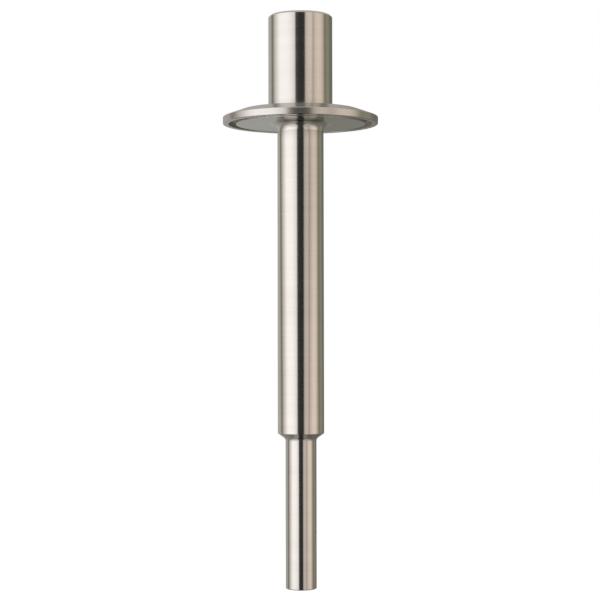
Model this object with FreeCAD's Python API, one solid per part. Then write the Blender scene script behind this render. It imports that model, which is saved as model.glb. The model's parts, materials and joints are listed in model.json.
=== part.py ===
import FreeCAD, Part
import math
import os

# A stepped thermowell for a sanitary clamp joint: the pocket that a temperature probe is pushed into.
# Lengths are in millimetres and angles in degrees. The origin is the centre of the flange's sealing face,
# and +Z runs up the axis to the head, so the stem hangs down along -Z.

# Clamp flange
flange_diameter = 63.9
rim_thickness = 2.85
rim_edge_round = 0.4
bevel_width = 7.55
bevel_angle = 20.0
bevel_edge_round = 0.4
groove_setback = 3.8  # from the rim to the middle of the gasket groove
groove_width = 3.0
groove_depth = 1.6
groove_floor_round = 1.3
groove_edge_round = 0.15
neck_fillet = 1.5  # between the flange's back and the short neck that carries the head
neck_land = 0.4  # of straight neck above the fillet

# Head, with a socket for a half-inch straight pipe thread
head_height = 44.9  # above the sealing face
head_wall = 2.72  # outside the thread's root
head_chamfer = 0.85  # round the outer edge of its mouth
head_edge_round = 0.15
thread_diameter = 20.955  # at the root
thread_height = 1.162
thread_depth = 16.0
thread_mouth_chamfer = 0.75
tap_drill_runout = 4.0  # of the tap drill past the thread

# Seat of the flange on the body
seat_width = 0.5  # of the head's shoulder that the neck stops against
weld_clearance = 0.02  # between the hub and the flange's bore, on the radius

# Stem and reduced tip
insertion_length = 190.5  # below the sealing face
stem_diameter = 19.05
tip_diameter = 12.7
tip_length = 63.5  # from the shoulder's edge to the end
shoulder_slope = 35.0
shoulder_fillet = 1.8
shoulder_edge_round = 0.3
tip_edge_round = 0.5

# Sensor bore
bore_diameter = 6.6
end_wall = 6.35  # left under the bore's drill point
drill_point_angle = 118.0

# Radii that follow
flange_radius = flange_diameter / 2
groove_inner_radius = flange_radius - groove_setback - groove_width / 2
groove_outer_radius = groove_inner_radius + groove_width
thread_radius = thread_diameter / 2
core_radius = thread_radius - thread_height
head_radius = thread_radius + head_wall
hub_radius = head_radius - seat_width
stem_radius = stem_diameter / 2
root_fillet = hub_radius - stem_radius
tip_radius = tip_diameter / 2
bore_radius = bore_diameter / 2

# Heights that follow
flange_thickness = rim_thickness + bevel_width * math.tan(math.radians(bevel_angle))
neck_top = flange_thickness + neck_fillet + neck_land
thread_end = head_height - thread_depth
tap_drill_end = thread_end - tap_drill_runout
drill_point_slope = 1 / math.tan(math.radians(drill_point_angle / 2))
bore_mouth = tap_drill_end - (core_radius - bore_radius) * drill_point_slope
bore_end = end_wall - insertion_length
bore_wall_end = bore_end + bore_radius * drill_point_slope
shoulder_edge = tip_length - insertion_length
shoulder_foot = shoulder_edge - (stem_radius - tip_radius) * math.tan(math.radians(shoulder_slope))

coincident = 1e-6  # points nearer than this are one point


def rounded_corner(before, corner, after, radius):
    """Where the outline reaches and leaves a corner, and the arc between, or None where it stays sharp."""
    if not radius:
        return corner, corner, None
    towards_before = (before - corner).normalize()
    towards_after = (after - corner).normalize()
    half_angle = towards_before.getAngle(towards_after) / 2
    reach = radius / math.tan(half_angle)
    start = corner + towards_before * reach
    end = corner + towards_after * reach
    inwards = (towards_before + towards_after).normalize()
    middle = corner + inwards * (radius / math.sin(half_angle) - radius)
    return start, end, Part.Arc(start, middle, end).toShape()


def turned(section):
    """A solid turned about Z from its half section: (radius, height, corner round) all the way round it."""
    points = [FreeCAD.Vector(radius, 0, height) for radius, height, _ in section]
    befores = points[-1:] + points[:-1]
    afters = points[1:] + points[:1]
    rounds = [corner_round for _, _, corner_round in section]
    corners = [rounded_corner(*corner) for corner in zip(befores, points, afters, rounds)]
    edges = []
    for (_, leave, arc), (arrive, _, _) in zip(corners, corners[1:] + corners[:1]):
        if arc:
            edges.append(arc)
        if leave.distanceToPoint(arrive) > coincident:
            edges.append(Part.LineSegment(leave, arrive).toShape())
    face = Part.Face(Part.Wire(edges))
    return face.revolve(FreeCAD.Vector(0, 0, 0), FreeCAD.Vector(0, 0, 1), 360)


def well_body():
    """Head, hub, stem and tip in one bar, with the threaded socket and the blind bore."""
    return turned([
        (0, bore_end, 0),
        (bore_radius, bore_wall_end, 0),
        (bore_radius, bore_mouth, 0),
        (core_radius, tap_drill_end, 0),
        (core_radius, thread_end - thread_height, 0),
        (thread_radius, thread_end, 0),
        (thread_radius, head_height - thread_mouth_chamfer, 0),
        (thread_radius + thread_mouth_chamfer, head_height, 0),
        (head_radius - head_chamfer, head_height, head_edge_round),
        (head_radius, head_height - head_chamfer, head_edge_round),
        (head_radius, neck_top, 0),
        (hub_radius, neck_top, 0),
        (hub_radius, 0, 0),
        (stem_radius, 0, root_fillet),
        (stem_radius, shoulder_edge, shoulder_edge_round),
        (tip_radius, shoulder_foot, shoulder_fillet),
        (tip_radius, -insertion_length, tip_edge_round),
        (0, -insertion_length, 0),
    ])


def clamp_flange():
    """The ferrule ring round the hub: gasket groove, bevelled back and the neck under the head."""
    bore = hub_radius + weld_clearance
    return turned([
        (bore, 0, 0),
        (groove_inner_radius, 0, groove_edge_round),
        (groove_inner_radius, groove_depth, groove_floor_round),
        (groove_outer_radius, groove_depth, groove_floor_round),
        (groove_outer_radius, 0, groove_edge_round),
        (flange_radius, 0, rim_edge_round),
        (flange_radius, rim_thickness, rim_edge_round),
        (flange_radius - bevel_width, flange_thickness, bevel_edge_round),
        (head_radius, flange_thickness, neck_fillet),
        (head_radius, neck_top, 0),
        (bore, neck_top, 0),
    ])


os.makedirs("parts", exist_ok=True)
for piece in (well_body, clamp_flange):
    piece().exportStep(f"parts/{piece.__name__}.step")
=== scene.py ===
import json
import math

import bmesh
import bpy
from mathutils import Euler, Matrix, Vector


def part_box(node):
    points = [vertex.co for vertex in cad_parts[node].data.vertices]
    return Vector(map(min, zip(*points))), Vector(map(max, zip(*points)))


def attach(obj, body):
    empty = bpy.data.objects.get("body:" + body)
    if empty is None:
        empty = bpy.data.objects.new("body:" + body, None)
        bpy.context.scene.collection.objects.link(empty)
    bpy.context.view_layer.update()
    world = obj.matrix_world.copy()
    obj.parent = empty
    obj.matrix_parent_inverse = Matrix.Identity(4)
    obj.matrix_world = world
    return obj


# A stepped thermowell in polished stainless steel, hung upright in a studio light tent.
# Lengths are in metres and angles in degrees. The frame's origin is the centre of the flange's sealing
# face, +Z runs up the axis to the head, and the camera looks along +Y.

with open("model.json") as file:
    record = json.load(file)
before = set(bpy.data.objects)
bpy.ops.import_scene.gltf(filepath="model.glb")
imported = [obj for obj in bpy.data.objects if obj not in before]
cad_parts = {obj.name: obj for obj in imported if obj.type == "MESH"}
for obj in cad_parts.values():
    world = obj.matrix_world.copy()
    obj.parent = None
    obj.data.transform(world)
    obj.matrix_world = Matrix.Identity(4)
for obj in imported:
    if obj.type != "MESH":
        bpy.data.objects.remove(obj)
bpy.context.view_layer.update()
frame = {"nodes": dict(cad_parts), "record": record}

# Sizes that the frame gives
millimetre = 0.001
body_low, body_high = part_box("well_body")
_, flange_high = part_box("clamp_flange")
mount_sizes = {mount["name"]: mount["dims"] for mount in frame["record"]["mounts"]}
tip_end = body_low.z
head_top = body_high.z
neck_top = flange_high.z
flange_radius = flange_high.x
thread_radius = mount_sizes["thread_socket"]["r_mm"] * millimetre
thread_length = mount_sizes["thread_socket"]["length_mm"] * millimetre
bore_radius = mount_sizes["sensor_bore"]["r_mm"] * millimetre

# Gasket groove
groove_setback = 0.0038  # from the rim to the middle of the groove
groove_width = 0.0030
groove_depth = 0.0016

# Thread of the socket, a half-inch straight pipe thread
thread_pitch = 0.001814
thread_height = 0.001162
thread_flank = 27.5  # half the angle between the flanks
crest_round = 0.137329 * thread_pitch  # as this form of thread has it
thread_mouth_chamfer = 0.00075
thread_fade = 0.3  # of a turn, over which each end of the thread rises out of the wall
thread_sink = 0.00002  # of the thread's foot into the wall
segments_per_turn = 96
crest_steps = 6

# Roughness of each finish
polish_roughness = 0.15
drilled_roughness = 0.36
face_roughness = 0.12
back_roughness = 0.18
rim_roughness = 0.32
groove_roughness = 0.74
crest_roughness = 0.28
root_roughness = 0.36

# Darkening of the steel's tone on the flange: 0 is the bright polish and 1 is as dark as the bore, where it
# is painted shade.
# The groove's value below 0 is painted light, brighter than the polish against the shade in its hollow.
face_darkening = 0.45
back_darkening = 0.15
rim_darkening = 0.05
groove_painted_light = -0.35

# Widths at which one finish gives way to the next
flange_finish_edge = 0.0004
bore_finish_edge = 0.00033

# Marks on the steel
tool_ring_width = 0.0006
tool_ring_detail = 2.0
belt_ring_width = 0.006
belt_ring_detail = 4.0
mark_length = 0.012
mark_width = 0.0004
patch_width = 0.03
weld_half_width = 0.0022
relief_depth = 0.00002

# Share of each mark in the tone, the roughness and the relief
middle_tone = 0.5
ring_tone = 0.5
mark_tone = 0.35
patch_tone = 0.5
weld_tone = -0.1
# share of the darkening in the tone, which holds painted shade in hollows and painted light in the flange's
# groove
darkening_tone = -0.7
ring_roughness = 0.05
patch_roughness = 0.06
weld_roughness = 0.06
ring_relief = 0.7
mark_relief = 0.6

# How the steel mirrors
polished_glancing = 0.88  # of the light that plain metal would mirror at a shallow angle
turned_glancing = 0.82
brush_spread = 0.8
brush_turn = 0.25  # of a turn, so that highlights spread along the axis

# Camera
lens = 100.0
camera_distance = 0.685
camera_height = -0.088
camera_aside = -0.00034
camera_tilt = 1.31
camera_roll = 0.10

# Light tent. A pair says where a change starts and where it is complete. Heights on the tent are angles
# above the horizon, and angles round it are 0 towards the camera and negative on the left.
tent_radius = 0.9
tent_segments = 96
roof_height = (34, 60)  # from the walls to the roof
roof_fall = 0.35  # of the roof's edge for each length towards the back
ground_height = (-12, -65)  # from the walls to the ground
lean_height = 12  # above and below the horizon, past which the walls lean no further
left_lean = 7.5  # of the left walls round the tent, at lean_height
right_lean = 10.5
slit_top_sides = (26, 14)  # round the tent, on either side of the camera
slit_top_height = (26.1, 32.7)
warm_left = (8.6, 20)  # round the tent
warm_right = (94.5, 74.5)
shade_height = (-3.4, 5.7)  # of the shade on the warm walls
shade_level = -0.22
glow_right = (91.7, 40.1)  # round the tent, where the glow on the warm walls ends
glow_height = (6.3, 8.6)
glow_level = 0.44
runner_side = (0.252, 0.126)  # from the middle of the ground
ground_fade = 0.3  # before and behind the middle
ground_back_level = -0.62
side_fade = 0.45  # to the left and the right of the middle
streaks_round = 60.0
streak_level = 0.16

# Floor, lamp and background
floor_gap = 0.012
floor_radius = 0.45
floor_fade_start = 0.22
floor_segments = 96
floor_grey = 0.82
floor_roughness = 0.9
floor_lift = 0.35
lamp_size = 0.8
lamp_power = 9.0
lamp_place = (-0.15, -0.1, 1.0)
ambient_level = 0.4


class Signal:
    """One socket of a node tree. Its operators add Math nodes, so that shader maths reads as Python."""

    def __init__(self, tree, socket=None):
        self.tree = tree
        self.socket = socket

    def node(self, kind, settings, inputs, output=0):
        """Adds any node: its settings are set first, then each input gets a value or a link."""
        made = self.tree.nodes.new(kind)
        for name, value in settings.items():
            if name == "stops":
                fill_ramp(made.color_ramp, value)
            else:
                setattr(made, name, value)
        for name, value in inputs.items():
            if isinstance(value, Signal):
                self.tree.links.new(value.socket, made.inputs[name])
            else:
                made.inputs[name].default_value = value
        return Signal(self.tree, made.outputs[output])

    def math(self, operation, *values):
        return self.node("ShaderNodeMath", {"operation": operation}, dict(enumerate(values)))

    def __add__(self, other):
        return self.math("ADD", self, other)

    __radd__ = __add__

    def __sub__(self, other):
        return self.math("SUBTRACT", self, other)

    def __rsub__(self, other):
        return self.math("SUBTRACT", other, self)

    def __mul__(self, other):
        return self.math("MULTIPLY", self, other)

    __rmul__ = __mul__

    def step(self, start, end):
        """0 on start's side, 1 on end's side and a smooth change between, whichever of them is larger."""
        low, high = min(start, end), max(start, end)
        before, after = (0.0, 1.0) if start < end else (1.0, 0.0)
        inputs = {"Value": self, "From Min": low, "From Max": high, "To Min": before, "To Max": after}
        return self.node("ShaderNodeMapRange", {"interpolation_type": "SMOOTHSTEP"}, inputs)

    def ramp(self, reach):
        """Straight from -1 at -reach to 1 at reach, and level beyond."""
        inputs = {"Value": self, "From Min": -reach, "From Max": reach, "To Min": -1.0, "To Max": 1.0}
        return self.node("ShaderNodeMapRange", {}, inputs)

    def between(self, first, second):
        """The first number where this is 0 and the second where it is 1."""
        return first + self * (second - first)

    def either(self, other):
        """The larger of the two."""
        return self.math("MAXIMUM", self, other)

    def mix(self, first, second):
        """The first colour where this is 0 and the second where it is 1."""
        return self.node("ShaderNodeMix", {"data_type": "RGBA"}, {0: self, 6: first, 7: second}, 2)

    def dim(self, colour):
        """The colour times this."""
        return self.node("ShaderNodeVectorMath", {"operation": "SCALE"}, {0: colour, "Scale": self})

    def noise(self, settings, inputs):
        """Noise about 0, from -0.5 to 0.5."""
        return self.node("ShaderNodeTexNoise", settings, inputs) - 0.5


def fill_ramp(ramp, stops):
    """Gives a colour ramp its stops, as (position, colour) in rising order."""
    while len(ramp.elements) < len(stops):
        ramp.elements.new(1.0)
    for element, (position, colour) in zip(ramp.elements, stops):
        element.position = position
        element.color = colour


def rgb(red, green, blue):
    return (red, green, blue, 1.0)


def grey(level):
    return rgb(level, level, level)


def new_material(name):
    """An empty material and a blank signal to start its nodes from."""
    material = bpy.data.materials.new(name)
    material.use_nodes = True
    material.node_tree.nodes.clear()
    return material, Signal(material.node_tree)


def finish_material(material, shader):
    output = material.node_tree.nodes.new("ShaderNodeOutputMaterial")
    material.node_tree.links.new(shader.socket, output.inputs["Surface"])
    return material


def mesh_piece(name, mesh_data, material):
    """A new object from a bmesh, with one material."""
    mesh = bpy.data.meshes.new(name)
    mesh_data.to_mesh(mesh)
    mesh_data.free()
    mesh.materials.append(material)
    piece = bpy.data.objects.new(name, mesh)
    bpy.context.scene.collection.objects.link(piece)
    return piece


# Steel finishes

steel_tones = [(0.0, rgb(0.46, 0.44, 0.41)), (0.3, rgb(0.57, 0.55, 0.52)), (1.0, rgb(0.68, 0.66, 0.63))]


def turned_place(position):
    """A point's place across the axis, its radius, and its height."""
    across = position.node("ShaderNodeVectorMath", {"operation": "MULTIPLY"}, {0: position, 1: (1, 1, 0)})
    radius = position.node("ShaderNodeVectorMath", {"operation": "LENGTH"}, {0: across}, "Value")
    height = position.node("ShaderNodeSeparateXYZ", {}, {0: position}, "Z")
    return across, radius, height


def rings(along, width, detail):
    """Noise that changes only along the outline, as the rings of a lathe tool or a polishing belt do."""
    inputs = {"W": along, "Scale": 1 / width, "Detail": detail, "Roughness": 0.6}
    return along.noise({"noise_dimensions": "1D"}, inputs)


def polishing_marks(across, along):
    """Noise in short arcs round the axis."""
    ring_places = along.node("ShaderNodeCombineXYZ", {}, {"Z": along * (mark_length / mark_width)})
    place = along.node("ShaderNodeVectorMath", {"operation": "ADD"}, {0: across, 1: ring_places})
    return along.noise({}, {"Vector": place, "Scale": 1 / mark_length, "Detail": 2.0})


def patches(position):
    """Broad uneven patches, as handling and hand polishing leave."""
    return position.noise({}, {"Vector": position, "Scale": 1 / patch_width, "Detail": 3.0})


def weld_band(height):
    """1 on the dressed weld between the flange's neck and the head, 0 away from it."""
    below = height.step(neck_top - weld_half_width, neck_top)
    above = height.step(neck_top + weld_half_width, neck_top)
    return below * above


def stainless(name, finish, glancing):
    """Turned stainless steel.

    The finish gives its roughness and how far its tone is darkened from place to place: painted shade in
    the socket, the bore and the thread's roots, and painted light brightening the flange's groove. Glancing
    is the share of the light that it still mirrors at a shallow angle.
    """
    material, start = new_material(name)
    position = start.node("ShaderNodeTexCoord", {}, {}, "Object")
    across, radius, height = turned_place(position)
    along = radius + height
    roughness, darkening = finish(radius, height)
    tool_rings = rings(along, tool_ring_width, tool_ring_detail)
    belt_rings = rings(along, belt_ring_width, belt_ring_detail)
    marks = polishing_marks(across, along)
    clouds = patches(position)
    weld = weld_band(height)
    even_tone = middle_tone + weld * weld_tone + darkening * darkening_tone
    tone = even_tone + belt_rings * ring_tone + marks * mark_tone + clouds * patch_tone
    uneven = belt_rings * ring_roughness + clouds * patch_roughness + weld * weld_roughness
    relief = tool_rings * ring_relief + marks * mark_relief
    bump = {"Strength": 1.0, "Distance": relief_depth, "Height": relief}
    inputs = {
        "Base Color": start.node("ShaderNodeValToRGB", {"stops": steel_tones}, {"Fac": tone}),
        "Metallic": 1.0,
        "Specular Tint": grey(glancing),
        "Roughness": roughness + uneven,
        "Anisotropic": brush_spread,
        "Anisotropic Rotation": brush_turn,
        "Normal": start.node("ShaderNodeBump", {}, bump),
    }
    return finish_material(material, start.node("ShaderNodeBsdfPrincipled", {}, inputs))


def body_finish(radius, height):
    """Polished outside, and rougher in the socket and the sensor bore, whose tone is darkened there as
    painted shade.
    """
    socket_wall = radius.step(thread_radius + thread_mouth_chamfer, thread_radius)
    socket = socket_wall * height.step(0.0, bore_radius)
    bore_wall = radius.step(bore_radius + bore_finish_edge, bore_radius)
    bore = bore_wall * height.step(tip_end, tip_end + bore_radius)
    inside = socket.either(bore)
    # the second value darkens the tone inside as painted shade
    return inside.between(polish_roughness, drilled_roughness), inside


def flange_finish(radius, height):
    """Most polished on the sealing face, less on the back, turned on the rim and rough in the groove."""
    edge = flange_finish_edge
    groove_outside = flange_radius - groove_setback + groove_width / 2
    off_face = height.step(0.0, edge)
    rim = off_face * radius.step(flange_radius - 2 * edge, flange_radius - edge)
    near_face = height.step(groove_depth + 2 * edge, groove_depth + edge)
    groove = off_face * near_face * radius.step(groove_outside + edge, groove_outside)

    def blend(on_face, on_back, on_rim, in_groove):
        plain = off_face.between(on_face, on_back)
        return plain + rim * (on_rim - on_back) + groove * (in_groove - on_back)

    roughness = blend(face_roughness, back_roughness, rim_roughness, groove_roughness)
    # In the groove the darkening is below 0: painted light that brightens the hollow against its shade
    darkening = blend(face_darkening, back_darkening, rim_darkening, groove_painted_light)
    return roughness, darkening


def thread_finish(radius, height):
    """Rougher towards the roots, as the tap leaves it, with the tone darkened there as painted shade."""
    roots = radius.step(thread_radius - thread_height, thread_radius)
    # roots darkens the tone in the thread's creases as painted shade
    return roots.between(crest_roughness, root_roughness), roots


# The thread in the socket

def thread_section():
    """The ridge as points (along the axis, in from the wall): a flank, a round crest and a flank."""
    crest_centre = thread_height - crest_round
    half_crest = 90 - thread_flank
    crest = []
    for step in range(crest_steps + 1):
        angle = math.radians(half_crest * (2 * step / crest_steps - 1))
        crest.append((crest_round * math.sin(angle), crest_centre + crest_round * math.cos(angle)))
    crest_end, crest_end_depth = crest[-1]
    half_foot = crest_end + crest_end_depth * math.tan(math.radians(thread_flank))
    return [(-half_foot, 0.0), *crest, (half_foot, 0.0)]


def socket_thread(material):
    """The thread's ridge, wound along the socket's wall."""
    section = thread_section()
    half_foot = section[-1][0]
    thread_start = head_top - thread_mouth_chamfer - thread_length + half_foot
    turns = (thread_length - 2 * half_foot) / thread_pitch
    steps = round(turns * segments_per_turn)
    ridge = bmesh.new()
    rows = []
    for step in range(steps + 1):
        turn = turns * step / steps
        angle = 2 * math.pi * turn
        rise = min(1.0, turn / thread_fade, (turns - turn) / thread_fade)
        row = []
        for along, depth in section:
            radius = thread_radius + thread_sink - depth * rise
            height = thread_start + thread_pitch * turn + along
            row.append(ridge.verts.new((radius * math.cos(angle), radius * math.sin(angle), height)))
        rows.append(row)
    for row, next_row in zip(rows, rows[1:]):
        for first, second in zip(range(len(section)), [*range(1, len(section)), 0]):
            ridge.faces.new((row[first], row[second], next_row[second], next_row[first]))
    ridge.faces.new(rows[0])
    ridge.faces.new(rows[-1][::-1])
    bmesh.ops.recalc_face_normals(ridge, faces=ridge.faces)
    for face in ridge.faces:
        face.smooth = True
    return mesh_piece("socket_thread", ridge, material)


# Cloth of the tent, with the walls' colours by their angle round it

back_grey = rgb(0.50, 0.50, 0.475)
left_grey = rgb(0.62, 0.61, 0.58)
left_shade = rgb(0.30, 0.28, 0.24)
softbox_hem = rgb(0.76, 0.72, 0.66)
softbox_side = rgb(1.02, 0.97, 0.94)
softbox = rgb(1.56, 1.52, 1.53)
softbox_front = rgb(1.16, 1.11, 1.10)
slit_left = rgb(0.085, 0.086, 0.086)
slit = rgb(0.042, 0.043, 0.042)
slit_top = rgb(0.45, 0.44, 0.42)
beige_side = rgb(0.72, 0.65, 0.58)
beige = rgb(0.87, 0.78, 0.70)
seam = rgb(0.56, 0.46, 0.40)
peach_side = rgb(0.84, 0.73, 0.64)
peach = rgb(1.10, 0.95, 0.83)
peach_hem = rgb(0.67, 0.59, 0.48)
olive_seam = rgb(0.29, 0.27, 0.21)
olive = rgb(0.37, 0.36, 0.28)
dark_green = rgb(0.23, 0.23, 0.20)
back_green = rgb(0.30, 0.30, 0.26)
roof_left = rgb(0.70, 0.69, 0.67)
roof_right = rgb(0.60, 0.60, 0.57)
ground_left = rgb(0.85, 0.82, 0.76)
ground_right = rgb(0.52, 0.50, 0.45)
tent_walls = [
    (-180, back_grey), (-165, back_grey), (-150, left_grey), (-128, left_grey), (-119, left_shade),
    (-111, left_shade), (-101, softbox_hem), (-91, softbox_side), (-73, softbox), (-43, softbox),
    (-20, softbox_front), (-15.5, slit_left), (-2, slit), (14, slit), (18, beige_side), (36, beige),
    (42.5, seam), (52, peach_side), (64, peach), (79, peach), (90, peach_hem), (98, olive_seam),
    (102, olive_seam), (112, olive), (124, olive), (136, dark_green), (164, dark_green), (174, back_green),
    (180, back_green),
]


def tent_height(elevation):
    """Height on the tent, from its middle, of an angle above the horizon."""
    return tent_radius * math.sin(math.radians(elevation))


def cloth_place(angle, height):
    """How far round the cloth a point is, from 0 to 1. The walls lean, so it shifts with the height."""
    sine = angle.math("SINE", angle)
    cosine = angle.math("COSINE", angle)
    leftward = (0 - sine).either(0.0)
    rightward = sine.either(0.0)
    on_left = leftward * leftward * math.radians(left_lean)
    on_right = rightward * rightward * cosine * math.radians(right_lean)
    lean = (on_left - on_right) * height.ramp(tent_height(lean_height))
    return (angle + lean) * (0.5 / math.pi) + 0.5


def wall_colour(angle, height, place):
    """The walls' cloth, with a shade and a glow on the warm walls and the slit closed at its top."""
    stops = [(wall_angle / 360 + 0.5, colour) for wall_angle, colour in tent_walls]
    cloth = place.node("ShaderNodeValToRGB", {"stops": stops}, {"Fac": place})
    warm = angle.step(*map(math.radians, warm_left)) * angle.step(*map(math.radians, warm_right))
    shade = warm * height.step(*map(tent_height, shade_height))
    glow = warm * angle.step(*map(math.radians, glow_right)) * height.step(*map(tent_height, glow_height))
    lit_cloth = (1 + glow * glow_level + shade * shade_level).dim(cloth)
    ahead = angle.math("COSINE", angle).step(*[math.cos(math.radians(side)) for side in slit_top_sides])
    closed = ahead * height.step(*map(tent_height, slit_top_height))
    return closed.mix(lit_cloth, slit_top)


def ground_colour(right, back, right_half):
    """The ground's cloth, darker behind the object, with a dark runner from the slit along its middle."""
    behind = back.step(-ground_fade, ground_fade)
    cloth = (1 + behind * ground_back_level).dim(right_half.mix(ground_left, ground_right))
    runner = right.math("ABSOLUTE", right).step(*runner_side)
    return runner.mix(cloth, slit)


def tent_cloth():
    """Lit cloth: a bright left wall, a dark slit for the camera, and warm, olive and grey walls."""
    material, start = new_material("tent_cloth")
    material.cycles.emission_sampling = "NONE"
    position = start.node("ShaderNodeTexCoord", {}, {}, "Object")
    right, back, height = [start.node("ShaderNodeSeparateXYZ", {}, {0: position}, axis) for axis in "XYZ"]
    angle = right.math("ARCTAN2", right, 0 - back)
    place = cloth_place(angle, height)
    right_half = right.step(-side_fade, side_fade)
    ground = height.step(*map(tent_height, ground_height))
    roof = (height + back * roof_fall).step(*map(tent_height, roof_height))
    low_cloth = ground.mix(wall_colour(angle, height, place), ground_colour(right, back, right_half))
    cloth = roof.mix(low_cloth, right_half.mix(roof_left, roof_right))
    streaks = place.noise({"noise_dimensions": "1D"}, {"W": place, "Scale": streaks_round, "Detail": 3.0})
    light = (1 + streaks * streak_level).dim(cloth)
    shader = start.node("ShaderNodeEmission", {}, {"Color": light, "Strength": 1.0})
    return finish_material(material, shader)


# Studio

def light_tent():
    """A round tent of lit cloth about the object that only its polished surfaces see."""
    dome = bmesh.new()
    rows = tent_segments // 2
    bmesh.ops.create_uvsphere(dome, u_segments=tent_segments, v_segments=rows, radius=tent_radius)
    tent = mesh_piece("light_tent", dome, tent_cloth())
    tent.visible_camera = False
    tent.visible_diffuse = False
    tent.visible_transmission = False
    tent.visible_shadow = False


def floor_paint():
    """Pale floor paint that fades out into the white background and can't be seen from underneath."""
    material, start = new_material("floor_paint")
    _, radius, _ = turned_place(start.node("ShaderNodeTexCoord", {}, {}, "Object"))
    seen = start.node("ShaderNodeLightPath", {}, {}, "Is Camera Ray")
    under = start.node("ShaderNodeNewGeometry", {}, {}, "Backfacing")
    inputs = {
        "Base Color": grey(floor_grey),
        "Roughness": floor_roughness,
        "Specular IOR Level": 0.0,
        "Emission Color": seen.mix(grey(0.0), grey(1.0)),
        "Emission Strength": floor_lift,
        "Alpha": radius.step(floor_radius, floor_fade_start) * (1 - under),
    }
    return finish_material(material, start.node("ShaderNodeBsdfPrincipled", {}, inputs))


def studio_floor():
    """A round floor close under the tip, which keeps the object's shadow."""
    disc = bmesh.new()
    bmesh.ops.create_circle(disc, cap_ends=True, segments=floor_segments, radius=floor_radius)
    floor = mesh_piece("studio_floor", disc, floor_paint())
    floor.location.z = tip_end - floor_gap
    floor.visible_glossy = False


def overhead_lamp():
    """A wide soft lamp above, which gives the floor its light and the object its shadow there."""
    lamp_data = bpy.data.lights.new("overhead_lamp", "AREA")
    lamp_data.shape = "DISK"
    lamp_data.size = lamp_size
    lamp_data.energy = lamp_power
    lamp = bpy.data.objects.new("overhead_lamp", lamp_data)
    lamp.location = lamp_place
    lamp.rotation_euler = (Vector((0, 0, tip_end)) - lamp.location).to_track_quat("-Z", "Y").to_euler()
    lamp.visible_glossy = False
    bpy.context.scene.collection.objects.link(lamp)


def studio_world():
    """White behind everything that is seen or mirrored, and soft grey light on the floor."""
    world = bpy.data.worlds.new("studio_world")
    world.use_nodes = True
    world.node_tree.nodes.clear()
    start = Signal(world.node_tree)
    camera = start.node("ShaderNodeLightPath", {}, {}, "Is Camera Ray")
    glossy = start.node("ShaderNodeLightPath", {}, {}, "Is Glossy Ray")
    through = start.node("ShaderNodeLightPath", {}, {}, "Is Transmission Ray")
    seen = camera.either(glossy).either(through)
    ambient = start.node("ShaderNodeBackground", {}, {"Color": grey(1.0), "Strength": ambient_level})
    white = start.node("ShaderNodeBackground", {}, {"Color": grey(1.0), "Strength": 1.0})
    light = start.node("ShaderNodeMixShader", {}, {0: seen, 1: ambient, 2: white})
    output = world.node_tree.nodes.new("ShaderNodeOutputWorld")
    world.node_tree.links.new(light.socket, output.inputs["Surface"])
    bpy.context.scene.world = world


def studio_camera():
    """A long lens about level with the stem's middle, tilted up a little."""
    camera_data = bpy.data.cameras.new("studio_camera")
    camera_data.lens = lens
    camera = bpy.data.objects.new("studio_camera", camera_data)
    camera.location = (camera_aside, -camera_distance, camera_height)
    camera.rotation_euler = Euler((math.radians(90 + camera_tilt), math.radians(camera_roll), 0))
    bpy.context.scene.collection.objects.link(camera)
    bpy.context.scene.camera = camera


# Dressing the frame

def dress(node, material):
    """Gives a CAD node its finish."""
    materials = frame["nodes"][node].data.materials
    materials.clear()
    materials.append(material)


dress("well_body", stainless("polished_stainless", body_finish, polished_glancing))
dress("clamp_flange", stainless("flange_stainless", flange_finish, turned_glancing))
thread = socket_thread(stainless("tapped_stainless", thread_finish, turned_glancing))
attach(thread, "root")

light_tent()
studio_floor()
overhead_lamp()
studio_world()
studio_camera()
bpy.context.scene.view_settings.view_transform = "Standard"
